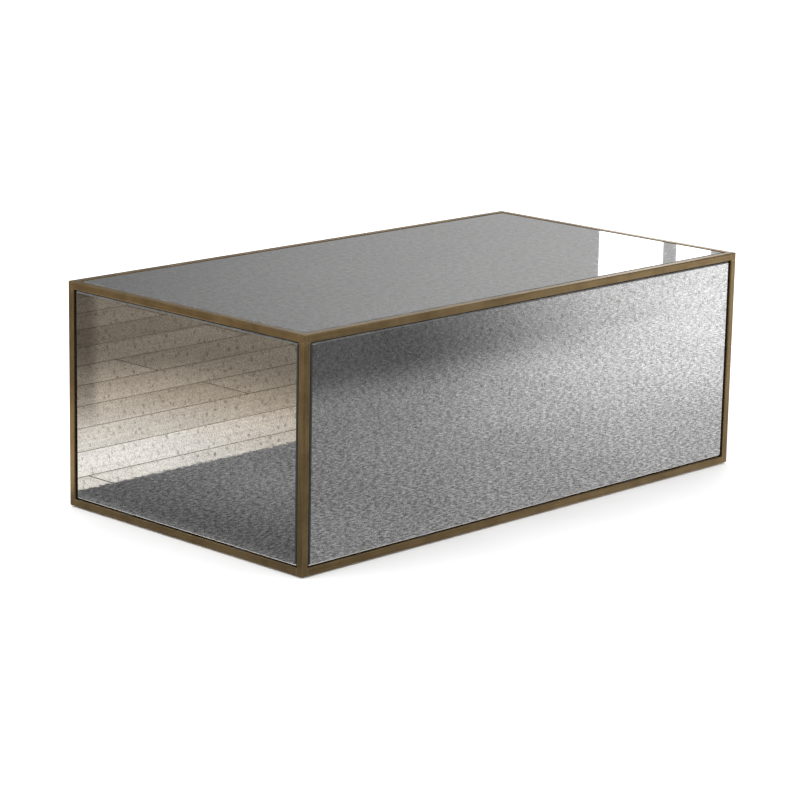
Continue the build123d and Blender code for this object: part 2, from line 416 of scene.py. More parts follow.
@dataclass(frozen=True)
class AntiqueMirror(Finish):
    """Silvering that has gone hazy and foxed, seen through the glass in front of it."""

    slot: str = "mirror_glass"
    facing: Axis = Axis.Y
    silver: Colour = (0.60, 0.60, 0.590)
    foxing: Colour = (0.155, 0.140, 0.120)
    speck_pitch: float = 23.0 * MM
    speck_radius: float = 1.4 * MM
    speck_share: float = 0.50
    grain_scale: float = 300.0
    grain_depth: float = 0.62
    mottle_depth: float = 0.16

    def across(self, recipe: Recipe) -> Link:
        """Return coordinates across the pane, as a vector's X and Y."""
        parts = recipe.parts(recipe.place())
        kept = [part for axis, part in zip(Axis, parts) if axis is not self.facing]
        return recipe.add("CombineXYZ", {}, {0: kept[0], 1: kept[1]})

    def write(self, recipe: Recipe) -> None:
        """Write the haze, the grain and the foxing under a clear coat for the glass."""
        flat = self.across(recipe)
        ragged = recipe.jitter(recipe.jitter(flat, 22.0, 22.0 * MM), 210.0, 7.0 * MM)
        patches = recipe.noise(flat, 11.0, 3.0).rise(0.34, 0.64)
        strength = recipe.noise(flat, 45.0, 2.0).rise(0.36, 0.62)
        large = recipe.spots(ragged, self.speck_pitch, self.speck_radius, 4.0 * MM, 0.95)
        small = recipe.spots(ragged, 0.42 * self.speck_pitch, 0.3 * self.speck_radius, 2.2 * MM, 1.0)
        foxed = large * (0.35 + strength * 0.65) + small * patches * strength * 0.55
        grain = recipe.noise(flat, self.grain_scale, 4.0, 0.8).rise(0.34, 0.66)
        mottle = recipe.noise(flat, 75.0, 3.0, 0.65).rise(0.32, 0.68)
        haze = recipe.noise(flat, 4.5, 4.0, 0.6).rise(0.25, 0.75)
        uneven = (grain - 0.5) * self.grain_depth + (mottle - 0.5) * self.mottle_depth
        level = 1.0 + uneven + (haze - 0.5) * 0.10
        aged = recipe.mix(foxed * self.speck_share, self.silver, self.foxing)
        recipe.surface(
            Base_Color=recipe.scaled(aged, level),
            Metallic=1.0,
            Roughness=0.012 + foxed * 0.10 + haze * 0.012,
            Coat_Weight=0.8,
            Coat_Roughness=0.012,
        )


@dataclass(frozen=True)
class Clouded(Finish):
    """An even material with clouds of a second colour, and a grain that roughens it."""

    base: Colour = (0.022, 0.022, 0.023)
    cloud: Colour = (0.050, 0.050, 0.050)
    clouds: Noise = Noise(70.0, 4.0, 0.6)
    cloud_edges: Pair = (0.3, 0.7)
    cloud_share: float = 1.0
    grain: Noise = Noise(1100.0)
    gloss: tuple[float, float, float] = (0.45, 0.15, 0.0)  # roughness: all over, by grain, by clouds
    relief: Pair = (0.0, 0.0)  # the grain's depth, and how much of it shows
    metallic: float = 0.0
    coat: float = 0.0

    def write(self, recipe: Recipe) -> None:
        """Write the clouds, the grain and its relief."""
        place = recipe.place()
        clouds = recipe.noise(place, *self.clouds).rise(*self.cloud_edges)
        grain = recipe.noise(place, *self.grain)
        level, by_grain, by_clouds = self.gloss
        sockets = {"Normal": recipe.bump(grain, *self.relief)} if any(self.relief) else {}
        recipe.surface(
            Base_Color=recipe.mix(clouds * self.cloud_share, self.base, self.cloud),
            Metallic=self.metallic,
            Roughness=level + grain * by_grain + clouds * by_clouds,
            Coat_Weight=self.coat,
            **sockets,
        )


@dataclass(frozen=True)
class BlackedBoard(Finish):
    """Thin fibreboard, stained black, with its fibres just showing."""

    slot: str = "backing"
    tone: Colour = (0.030, 0.027, 0.024)
    fibre: Colour = (0.062, 0.053, 0.044)

    def write(self, recipe: Recipe) -> None:
        """Write the fibres and the stain."""
        place = recipe.place()
        fibres = recipe.noise(recipe.jitter(place, 40.0, 0.02), 520.0, 4.0, 0.75)
        stain = recipe.noise(place, 11.0, 4.0)
        recipe.surface(
            Base_Color=recipe.mix((fibres * 0.7 + stain * 0.3).rise(0.42, 0.68), self.tone, self.fibre),
            Roughness=0.72 + fibres * 0.15,
            Normal=recipe.bump(fibres, 0.12 * MM, 0.6),
        )


@dataclass(frozen=True)
class FoamTape(Finish):
    """Off-white closed-cell foam tape."""

    slot: str = "tape"
    tone: Colour = (0.74, 0.73, 0.69)
    shade: Colour = (0.60, 0.59, 0.55)
    cell: float = 0.7 * MM

    def write(self, recipe: Recipe) -> None:
        """Write the foam's cells."""
        place = recipe.place()
        sockets = {"Vector": place, "Scale": 1.0 / self.cell}
        cells = recipe.add("TexVoronoi", {}, sockets, "Distance")
        recipe.surface(
            Base_Color=recipe.mix(cells.rise(0.1, 0.7), self.tone, self.shade),
            Roughness=0.8 + cells * 0.1,
            Normal=recipe.bump(1.0 - cells, 0.1 * MM, 0.5),
        )


BRONZE = {axis: AgedBronze(f"bronze_along_{axis.name.lower()}", grain=axis) for axis in Axis}
MIRROR = {
    Axis.X: AntiqueMirror("antique_mirror_end", facing=Axis.X),
    Axis.Y: AntiqueMirror("antique_mirror_side", facing=Axis.Y),
    Axis.Z: AntiqueMirror(
        "antique_mirror_top", facing=Axis.Z, speck_share=0.40, grain_scale=190.0, grain_depth=0.72,
        mottle_depth=0.48,
    ),
}
# the arris on bevels facing up, and all round the top pane: painted shade
SHADED_ARRIS = Clouded(
    "satin_arris_painted_shade", "mirror_glass", base=(0.11, 0.112, 0.112), cloud=(0.17, 0.172, 0.172),
    clouds=Noise(60.0, 3.0), grain=Noise(1800.0), gloss=(0.30, 0.15, 0.0), coat=0.3,
)
# the same satin bevel made much lighter where it faces down: a painted highlight
LIT_LOWER_ARRIS = replace(SHADED_ARRIS, name="painted_highlight_lower_arris", base=(0.80, 0.79, 0.79), cloud=(0.92, 0.91, 0.90))
# near black: painted shade of the gap, on the ground edge and on the upright arris
SHADED_GLASS_EDGE = Clouded(
    "ground_glass_edge_painted_shade", "mirror_glass", base=(0.024, 0.028, 0.026), cloud=(0.042, 0.047, 0.044),
    clouds=Noise(700.0, 4.0, 0.7), grain=Noise(700.0, 4.0, 0.7), gloss=(0.42, 0.20, 0.0),
    relief=(0.05 * MM, 0.4),
)
BACK_PAINT = Clouded(
    "mirror_back_paint", "mirror_glass", base=(0.12, 0.13, 0.14), cloud=(0.17, 0.18, 0.19),
    clouds=Noise(7.0, 3.0), grain=Noise(420.0, 3.0), gloss=(0.50, 0.15, 0.0), relief=(0.08 * MM, 0.5),
)
BOARD = BlackedBoard("blacked_fibreboard")
TAPE = FoamTape("foam_tape")
NYLON = Clouded(
    "black_nylon", "nylon", cloud_edges=(0.45, 0.75), cloud_share=0.6, grain=Noise(1100.0, 2.0, 0.6),
    gloss=(0.45, 0.15, 0.10), relief=(0.04 * MM, 0.6),
)
RUBBER = replace(
    NYLON, name="neoprene_rubber", slot="neoprene", grain=Noise(700.0, 2.0, 0.6), gloss=(0.60, 0.15, 0.10)
)
ZINC = Clouded(
    "zinc_plate", "zinc_steel", base=(0.44, 0.45, 0.46), cloud=(0.60, 0.61, 0.60),
    clouds=Noise(130.0, 4.0, 0.6), grain=Noise(1500.0), gloss=(0.24, 0.08, 0.12),
    relief=(0.02 * MM, 0.5), metallic=1.0,
)


# ---- Modelling ----
class Shaper:
    """One mesh under the tools: parts of it are picked by their place, then an operator runs."""

    def __init__(self, name: str) -> None:
        """Take the object that an operator has just added, with its place put into its mesh.

        Args:
            name: The name it is given.
        """
        self.piece = bpy.context.active_object
        self.piece.name = name
        self.select()
        bpy.ops.object.transform_apply(location=True, rotation=True, scale=True)

    @staticmethod
    def clear() -> None:
        """Deselect everything, so that an operator meets only what is added or picked next."""
        for other in bpy.context.view_layer.objects:
            other.select_set(False)

    @classmethod
    def block(cls, name: str, low: Vector, high: Vector) -> "Shaper":
        """Start from a block.

        Args:
            name: The piece's name.
            low: Its lowest corner.
            high: Its highest corner.

        Returns:
            The block's shaper.
        """
        cls.clear()
        bpy.ops.mesh.primitive_cube_add(size=1.0, location=(low + high) / 2, scale=high - low)
        return cls(name)

    @classmethod
    def rod(cls, name: str, centre: Point, radius: float, height: float, sides: int) -> "Shaper":
        """Start from an upright rod.

        Args:
            name: The piece's name.
            centre: The rod's middle.
            radius: The radius of its corners.
            height: Its height.
            sides: How many sides it has.

        Returns:
            The rod's shaper.
        """
        cls.clear()
        bpy.ops.mesh.primitive_cylinder_add(vertices=sides, radius=radius, depth=height, location=centre)
        return cls(name)

    @classmethod
    def line(cls, name: str, points: Sequence[Pair]) -> "Shaper":
        """Draw a profile in the XZ plane, by extruding one vertex from point to point.

        Args:
            name: The piece's name.
            points: Radii with heights.

        Returns:
            The profile's shaper.
        """
        cls.clear()
        bpy.ops.mesh.primitive_plane_add(size=MM, location=(points[0][0], 0.0, points[0][1]))
        shaper = cls(name)
        shaper.pick_all().run(bpy.ops.mesh.merge, type="CENTER")
        for (x, z), (next_x, next_z) in zip(points, points[1:]):
            shaper.pick_vertices(lambda co, x=x, z=z: math.hypot(co.x - x, co.z - z) < 0.1 * TOUCH)
            move = {"value": (next_x - x, 0.0, next_z - z)}
            shaper.run(bpy.ops.mesh.extrude_vertices_move, TRANSFORM_OT_translate=move)
        return shaper

    def select(self) -> None:
        """Select this object alone and make it active."""
        self.clear()
        self.piece.select_set(True)
        bpy.context.view_layer.objects.active = self.piece

    def _mode(self, vertices: bool, edges: bool, faces: bool) -> None:
        """Choose what the next pick is made of, and unpick everything."""
        bpy.context.tool_settings.mesh_select_mode = (vertices, edges, faces)
        mesh = self.piece.data
        for group in (mesh.polygons, mesh.edges, mesh.vertices):
            group.foreach_set("select", [False] * len(group))

    def pick_all(self) -> "Shaper":
        """Pick every vertex."""
        return self.pick_vertices(lambda co: True)

    def pick_vertices(self, test: Callable[[Vector], bool]) -> "Shaper":
        """Pick the vertices whose places pass a test."""
        self._mode(True, False, False)
        mesh = self.piece.data
        for vertex in mesh.vertices:
            vertex.select = test(vertex.co)
        for group in (mesh.edges, mesh.polygons):
            for element in group:
                element.select = all(mesh.vertices[i].select for i in element.vertices)
        return self

    def pick_edges(self, test: Callable[[Vector, Vector], bool]) -> "Shaper":
        """Pick the edges whose two ends pass a test."""
        self._mode(False, True, False)
        mesh = self.piece.data
        for edge in mesh.edges:
            first, second = (mesh.vertices[i] for i in edge.vertices)
            if test(first.co, second.co):
                edge.select = first.select = second.select = True
        return self

    def pick_faces(self, test: Callable[[Vector, Vector], bool]) -> "Shaper":
        """Pick the faces whose centre and normal pass a test."""
        self._mode(False, False, True)
        mesh = self.piece.data
        for face in mesh.polygons:
            face.select = test(face.center, face.normal)
        return self

    def run(self, operator: Callable[..., set[str]], **settings: object) -> "Shaper":
        """Run an edit-mode operator on what is picked.

        Args:
            operator: The operator.
            **settings: Its settings.

        Returns:
            This shaper.
        """
        self.select()
        bpy.ops.object.mode_set(mode="EDIT")
        operator(**settings)
        bpy.ops.object.mode_set(mode="OBJECT")
        return self

    def modify(self, kind: str, **settings: object) -> "Shaper":
        """Add a modifier and apply it.

        Args:
            kind: The modifier's type.
            **settings: Its settings.

        Returns:
            This shaper.
        """
        self.select()
        modifier = self.piece.modifiers.new(kind.lower(), kind)
        for key, value in settings.items():
            setattr(modifier, key, value)
        bpy.ops.object.modifier_apply(modifier=modifier.name)
        return self

    def sliced(self, axis: Axis, place: float) -> "Shaper":
        """Cut new edges where a plane meets the piece.

        Args:
            axis: The plane's normal.
            place: Where the plane stands along it.

        Returns:
            This shaper.
        """
        way = Matrix.Identity(3)[axis]
        return self.pick_all().run(bpy.ops.mesh.bisect, plane_co=way * place, plane_no=way)

    def turned(self, steps: int) -> "Shaper":
        """Spin a profile round the Z axis into a closed solid."""
        around = {"angle": 2 * math.pi, "center": (0.0, 0.0, 0.0), "axis": (0.0, 0.0, 1.0)}
        return self.pick_all().run(bpy.ops.mesh.spin, steps=steps, **around).closed()

    def closed(self) -> "Shaper":
        """Merge doubled vertices and turn every face outwards."""
        self.pick_all().run(bpy.ops.mesh.remove_doubles, threshold=WELD)
        return self.pick_all().run(bpy.ops.mesh.normals_make_consistent, inside=False)

    def cut(self, tool: "Shaper", keep: bool = False) -> "Shaper":
        """Cut a tool out of this piece, and remove the tool.

        Args:
            tool: The tool.
            keep: True to keep only what lies in the tool instead.

        Returns:
            This shaper.
        """
        operation = "INTERSECT" if keep else "DIFFERENCE"
        self.modify("BOOLEAN", object=tool.piece, operation=operation, solver="EXACT")
        bpy.data.objects.remove(tool.piece)
        return self

    def smooth(self, degrees: float = 35.0) -> "Shaper":
        """Shade smooth, with an edge wherever faces meet at more than an angle."""
        self.select()
        bpy.ops.object.shade_smooth_by_angle(angle=math.radians(degrees))
        return self

    def joined_with(self, *others: "Shaper") -> "Shaper":
        """Join other pieces into this one."""
        self.select()
        for other in others:
            other.piece.select_set(True)
        bpy.ops.object.join()
        return self

    def copies(self, name: str, matrices: Iterable[Matrix]) -> "Shaper":
        """Copy this piece to each of several places and join the copies.

        Args:
            name: The joined piece's name.
            matrices: Where the copies go. The pattern itself is removed.

        Returns:
            The joined piece's shaper.
        """
        made = []
        for matrix in matrices:
            copy = self.piece.copy()
            copy.data = self.piece.data.copy()
            copy.data.transform(matrix)
            bpy.context.scene.collection.objects.link(copy)
            made.append(copy)
        bpy.data.objects.remove(self.piece)
        self.clear()
        for copy in made:
            copy.select_set(True)
        bpy.context.view_layer.objects.active = made[0]
        if len(made) > 1:
            bpy.ops.object.join()
        return Shaper(name)

    def dress(self, *finishes: Finish) -> "Shaper":
        """Give the piece its finishes, in the order of its material slots."""
        self.piece.data.materials.clear()
        for finish in finishes:
            self.piece.data.materials.append(finish.material())
        return self

    def hand_over(self, body: str, slot: str, node: str) -> None:
        """Let the piece ride on a body in place of a CAD node.

        Args:
            body: The body.
            slot: The record's material slot; not used.
            node: The node that it stands for.
        """
        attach(self.piece, body)
        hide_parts(node)
        log.info("%s rides on %s and stands for %s", self.piece.name, body, node)


# ---- Sub-assemblies ----
KEPT_FINISHES = {
    **dict.fromkeys(("rail_front", "rail_back", "tabs", "foot_plates"), BRONZE[Axis.X]),
    **dict.fromkeys(("rail_left", "rail_right", "brace", "post_end_caps"), BRONZE[Axis.Y]),
    "post_": BRONZE[Axis.Z],
    **dict.fromkeys(("backing_board", "bottom_panel_left", "bottom_panel_right"), BOARD),
    "mirror_tape": TAPE,
    "setting_blocks": RUBBER,
}


def dress_kept_nodes() -> None:
    """Give each node that keeps its shape the first finish whose key is in its name."""
    for name, node in frame["nodes"].items():
        finish = next((f for key, f in KEPT_FINISHES.items() if key in name), None)
        if finish is None:
            continue
        if not node.material_slots:
            node.data.materials.append(None)
        for slot in node.material_slots:
            slot.material = finish.material()
        log.info("%s keeps its shape and is finished in %s", name, finish.name)


@dataclass
class MirrorPane:
    """One mirror: a glass pane with rounded corners, a satin arris in painted highlight and shade, and a
    painted back.
    """

    node: str
    corner: float = 3.0 * MM
    arris: float = 2.4 * MM
    back_seam: float = 0.4 * MM
    softness: float = 0.12 * MM
    border: float = 14.0 * MM
    broad: float = 100.0 * MM * MM
    square_on: float = 0.95
    slanted: float = 0.2

    def finish_of(self, normal: Vector, lean: float, mirror: Finish) -> Finish:
        """Choose a face's finish.

        Args:
            normal: The face's normal.
            lean: How far it faces out of the table, from -1 to 1.
            mirror: The finish of the pane's front.

        Returns:
            The face's finish.
        """
        if abs(lean) > self.square_on:
            return mirror if lean > 0.0 else BACK_PAINT
        # arris facing down: painted highlight; arris facing up: painted shade; upright arris and edges:
        # near-black painted shade of the gap
        if lean > self.slanted and abs(normal.z) > self.slanted:
            return LIT_LOWER_ARRIS if normal.z < 0.0 else SHADED_ARRIS
        return SHADED_GLASS_EDGE

    def build(self) -> None:
        """Model the pane in its node's box, dress it and hand it over."""
        low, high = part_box(self.node)
        size = high - low
        normal = min(Axis, key=lambda axis: size[axis])
        back, front = sorted((low[normal], high[normal]), key=abs)
        pane = Shaper.block(f"{self.node}_pane", low, high)
        sides = [axis for axis in Axis if axis is not normal]
        for axis in sides:
            pane.sliced(axis, low[axis] + self.border).sliced(axis, high[axis] - self.border)
        pane.pick_edges(
            lambda a, b: abs(a[normal] - b[normal]) > 0.5 * size[normal]
            and all(min(a[axis] - low[axis], high[axis] - a[axis]) < TOUCH for axis in sides)
        )
        pane.run(bpy.ops.mesh.bevel, offset=self.corner, segments=5, affect="EDGES")
        for face, bevel in ((front, self.arris), (back, self.back_seam)):
            pane.pick_faces(lambda centre, way, face=face: abs(centre[normal] - face) < TOUCH)
            pane.run(bpy.ops.mesh.region_to_loop)
            pane.run(bpy.ops.mesh.bevel, offset=bevel, segments=1, affect="EDGES")
        pane.modify("BEVEL", width=self.softness, segments=2, limit_method="ANGLE", angle_limit=0.5)
        finishes = (MIRROR[normal], LIT_LOWER_ARRIS, SHADED_ARRIS, SHADED_GLASS_EDGE, BACK_PAINT)
        pane.closed().dress(*finishes).smooth()
        for face in pane.piece.data.polygons:
            lean = math.copysign(1.0, front) * face.normal[normal]
            finish = self.finish_of(face.normal, lean, finishes[0])
            face.material_index = finishes.index(finish)
            face.use_smooth = face.area < self.broad
        pane.hand_over(TABLE_BODY, "mirror_glass", self.node)


def solids_in(node: str, reach: float = 20.0 * MM) -> list[tuple[Vector, Vector]]:
    """Split a node that holds several small solids, which stand well apart.

    Args:
        node: The node.
        reach: More than a solid's size, and less than the gaps between solids.

    Returns:
        Each solid's lowest and highest corners.
    """
    groups: list[list[Vector]] = []
    for vertex in frame["nodes"][node].data.vertices:
        group = next((g for g in groups if (g[0] - vertex.co).length < reach), None)
        if group is None:
            group = []
            groups.append(group)
        group.append(vertex.co.copy())
    return [(Vector(map(min, zip(*group))), Vector(map(max, zip(*group)))) for group in groups]


def over(low: Vector, high: Vector) -> Matrix:
    """Return the move that takes the Z axis to the middle of a box."""
    middle = (low + high) / 2
    return Matrix.Translation((middle.x, middle.y, 0.0))


@dataclass
class Thread:
    """A helical thread round the Z axis, with its ends closed."""

    crest: float
    root: float
    pitch: float
    steps: int = 16

    def build(self, start: float, turns: int) -> Shaper:
        """Model the thread.

        Args:
            start: The height where it begins.
            turns: How many turns it has.

        Returns:
            The thread's shaper.
        """
        profile = [
            (self.root, start),
            (self.crest, start + 0.42 * self.pitch),
            (self.crest, start + 0.55 * self.pitch),
            (self.root, start + self.pitch),
        ]
        thread = Shaper.line("thread", profile)
        rounds = {"screw_offset": self.pitch, "iterations": turns}
        thread.modify("SCREW", steps=self.steps, render_steps=self.steps, **rounds)
        return thread.closed().pick_all().run(bpy.ops.mesh.fill_holes, sides=0).closed()


SCREW_WAYS = {
    "front": (0.0, 1.0, 0.0),
    "back": (0.0, -1.0, 0.0),
    "left": (1.0, 0.0, 0.0),
    "right": (-1.0, 0.0, 0.0),
    "top": (0.0, 0.0, -1.0),
    "bottom": (0.0, 0.0, -1.0),
}


@dataclass
class PanScrews:
    """Pan-head screws with a cross recess and a threaded shank, modelled once for each panel."""

    shank: float = 1.75 * MM
    core: float = 1.30 * MM
    pitch: float = 0.85 * MM
    head: float = 3.5 * MM
    height: float = 2.2 * MM
    rim: float = 0.6 * MM
    recess: float = 1.15 * MM
    arm: Pair = (3.4 * MM, 0.8 * MM)
    tip: float = 1.3 * MM

    def _head(self) -> Shaper:
        """Return the head, domed above and flat below, standing on the XY plane."""
        profile = [(0.0, 0.0), (self.head - 0.15 * MM, 0.0), (self.head, 0.15 * MM), (self.head, self.rim)]
        for degrees in (18.0, 36.0, 54.0, 70.0):
            turn = math.radians(degrees)
            flat = self.head * math.cos(turn) ** 0.75
            profile.append((flat, self.rim + (self.height - self.rim) * math.sin(turn)))
        profile.append((0.0, self.height))
        head = Shaper.line("head", profile).turned(28)
        long, narrow = self.arm
        for size_x, size_y in ((long, narrow), (narrow, long)):
            low = Vector((-size_x / 2, -size_y / 2, self.height - self.recess))
            high = Vector((size_x / 2, size_y / 2, self.height + MM))
            slot = Shaper.block("slot", low, high)
            slot.pick_faces(lambda centre, normal: normal.z < -0.5)
            slot.run(bpy.ops.transform.resize, value=(0.5, 0.5, 1.0), center_override=(0.0, 0.0, 0.0))
            head.cut(slot)
        return head

    def _shank(self, length: float) -> Shaper:
        """Return the shank below the XY plane, with its thread and its point."""
        start = -length + self.tip
        turns = int((length - self.tip - 0.3 * MM) / self.pitch)
        thread = Thread(self.shank, self.core, self.pitch).build(start, turns)
        outline = [(0.0, 0.2 * MM), (self.core + 0.15 * MM, 0.2 * MM), (self.core + 0.05 * MM, start)]
        outline += [(0.3 * self.core, -length + 0.1 * MM), (0.0, -length)]
        return thread.joined_with(Shaper.line("core", outline).turned(16))

    def build(self, node: str) -> None:
        """Model one screw, drive a copy of it into each place of its node, and hand them over."""
        side = node.split("_")[0]
        way = Vector(SCREW_WAYS[side])
        turn = way.to_track_quat("Z", "Y").to_matrix().to_4x4()
        places = []
        length = 0.0
        for number, (low, high) in enumerate(solids_in(node)):
            reach = Vector(abs(a) for a in way).dot(high - low)
            length = reach - self.height
            seat = (low + high) / 2 + way * (reach / 2 - self.height)
            spin = Matrix.Rotation(1.1 * number, 4, "Z")
            places.append(Matrix.Translation(seat) @ turn @ spin)
        screw = self._head().joined_with(self._shank(length)).smooth(40.0)
        screws = screw.copies(f"{side}_pan_screws", places)
        screws.dress(ZINC).hand_over(TABLE_BODY, ZINC.slot, node)


@dataclass
class WeldNuts:
    """Hexagon weld nuts over the feet, with chamfered corners and a countersunk bore."""

    node: str = "foot_weld_nuts"
    bore: float = 4.16 * MM
    chamfer: float = 0.7 * MM

    @staticmethod
    def hexagon(name: str, low: float, high: float, flats: float, chamfer: float) -> Shaper:
        """Model a hexagon bar whose corners are turned off at both ends.

        Args:
            name: The piece's name.
            low: Its lower end's height.
            high: Its upper end's height.
            flats: Its width across flats.
            chamfer: The chamfer's height at a corner.

        Returns:
            The bar's shaper, on the Z axis.
        """
        corner = flats / 2 / math.cos(math.pi / 6)
        bar = Shaper.rod(name, (0.0, 0.0, (low + high) / 2), corner, high - low, 6)
        wide = corner + 0.4 * MM
        inner = flats / 2 - 0.1 * MM
        rise = chamfer * (wide - inner) / (corner - inner)
        lower = [(0.0, low), (inner, low), (wide, low + rise)]
        outline = lower + [(radius, low + high - height) for radius, height in reversed(lower)]
        return bar.cut(Shaper.line("turning", outline).turned(48), keep=True)

    def build(self) -> None:
        """Model one nut, copy it to the four feet and hand the nuts over."""
        solids = solids_in(self.node, 40.0 * MM)
        low, high = solids[0]
        flats = min(high.x - low.x, high.y - low.y)
        nut = self.hexagon("nut", low.z, high.z, flats, self.chamfer)
        wide = self.bore + 1.2 * MM
        outline = [(0.0, low.z - 0.7 * MM), (wide, low.z - 0.7 * MM), (self.bore, low.z + 0.5 * MM)]
        outline += [(self.bore, high.z - 0.5 * MM), (wide, high.z + 0.7 * MM), (0.0, high.z + 0.7 * MM)]
        nut.cut(Shaper.line("bore", outline).turned(40)).smooth(30.0)
        nuts = nut.copies("weld_nuts", [over(*solid) for solid in solids])
        nuts.dress(ZINC).hand_over(TABLE_BODY, ZINC.slot, self.node)


@dataclass
class LevellingFoot:
    """One levelling foot: a threaded stud with a hexagon collar, turning in a nylon pad."""

    corner: str
    crest: float = 3.97 * MM
    root: float = 3.35 * MM
    pitch: float = 1.25 * MM
    collar: Pair = (6.3 * MM, 10.5 * MM)
    flats: float = 13.0 * MM
    spigot: float = 3.0 * MM
    bore: float = 3.07 * MM
    bore_floor: float = 1.7 * MM

    def build_stud(self) -> None:
        """Model the stud, its collar and its spigot, and hand it over."""
        node = f"foot_stud_{self.corner}"
        low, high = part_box(node)
        bottom, top = self.collar
        turns = int((high.z - top - 1.2 * MM) / self.pitch)
        thread = Thread(self.crest, self.root, self.pitch, 24).build(top, turns)
        shank = self.root + 0.05 * MM
        outline = [(0.0, top - 0.5 * MM), (shank, top - 0.5 * MM), (shank, high.z - 0.9 * MM)]
        outline += [(self.root - 0.8 * MM, high.z), (0.0, high.z)]
        core = Shaper.line("core", outline).turned(24)
        collar = WeldNuts.hexagon("collar", bottom, top, self.flats, 0.6 * MM)
        pin = [(0.0, low.z), (self.spigot - 0.4 * MM, low.z), (self.spigot, low.z + 0.4 * MM)]
        pin += [(self.spigot, bottom + 0.2 * MM), (0.0, bottom + 0.2 * MM)]
        stud = thread.joined_with(core, collar, Shaper.line("pin", pin).turned(24)).smooth(32.0)
        stud = stud.copies(f"{node}_threaded", [over(low, high)])
        stud.dress(ZINC).hand_over(f"stud_{self.corner}", ZINC.slot, node)

    def build_pad(self) -> None:
        """Model the pad, with its moulded ring and the blind bore for the stud, and hand it over."""
        node = f"foot_pad_{self.corner}"
        low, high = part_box(node)
        radius = (high.x - low.x) / 2
        top = high.z
        sole = [(0.0, 0.5 * MM), (radius - 5.0 * MM, 0.5 * MM), (radius - 4.4 * MM, 0.0)]
        sole += [(radius - 1.2 * MM, 0.0), (radius - 0.3 * MM, 0.35 * MM), (radius, 1.2 * MM)]
        rim = [(radius, top - 1.6 * MM), (radius - 0.45 * MM, top - 0.5 * MM), (radius - 1.5 * MM, top)]
        rim += [(radius - 4.5 * MM, top), (radius - 5.0 * MM, top - 0.5 * MM)]
        boss = [(6.6 * MM, top - 0.5 * MM), (6.1 * MM, top), (self.bore + 0.3 * MM, top)]
        bore = [(self.bore, top - 0.3 * MM), (self.bore, self.bore_floor), (0.0, self.bore_floor)]
        pad = Shaper.line("pad", sole + rim + boss + bore).turned(56).smooth(30.0)
        pad = pad.copies(f"{node}_moulded", [over(low, high)])
        pad.dress(NYLON).hand_over(f"pad_{self.corner}", NYLON.slot, node)


# ---- Studio ----
@dataclass(frozen=True)
class PaleFloor(Finish):
    """Matt off-white floor paint."""

    tone: Colour = (0.90, 0.90, 0.90)
    shade: Colour = (0.87, 0.87, 0.87)

    def write(self, recipe: Recipe) -> None:
        """Write the roller's faint variation."""
        rolled = recipe.noise(recipe.place(), 3.0, 3.0).rise()
        recipe.surface(
            Base_Color=recipe.mix(rolled, self.tone, self.shade), Roughness=0.95, Specular_IOR_Level=0.0
        )


